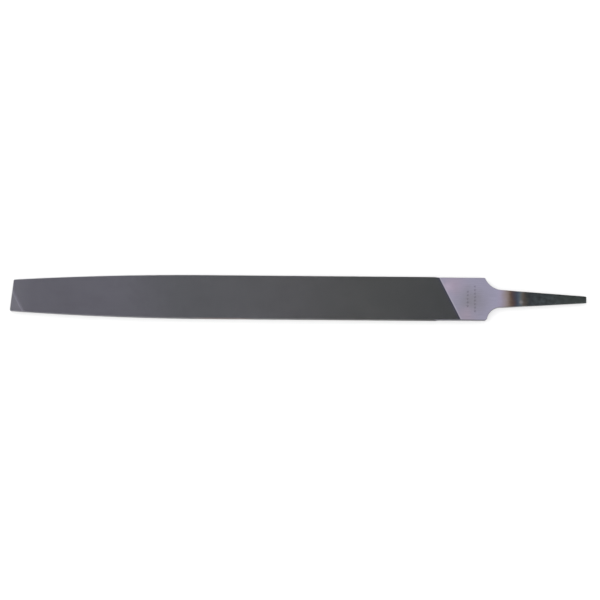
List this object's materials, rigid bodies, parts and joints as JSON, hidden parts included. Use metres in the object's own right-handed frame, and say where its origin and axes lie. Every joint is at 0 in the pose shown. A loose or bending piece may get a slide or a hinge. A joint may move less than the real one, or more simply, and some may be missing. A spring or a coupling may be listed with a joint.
{
  "type": "flat file",
  "caption": "Flat hand file for metalwork: a steel bar with parallel single-cut teeth on its faces, a tapered skewed point, a smooth heel and a bare tang for a handle.",
  "frame": {"origin": "on the underside of the heel, in the middle of the shoulder line, from which the file's length is measured", "axes": "+X along the bar from the point towards the tang, +Y across the width, +Z out of the upper face"},
  "size_m": [0.3705, 0.028, 0.005],
  "materials": {
    "cut_steel": "chisel-cut, hardened, satin grey",
    "ground_steel": "ground, satin, faintly violet grey",
    "scaled_steel": "blackened by heat, with straw and blue temper colours next to the heel"
  },
  "bodies": {
    "root": {"toothed_blade": "cut_steel", "heel": "ground_steel", "tang": "scaled_steel"}
  },
  "joints": []
}
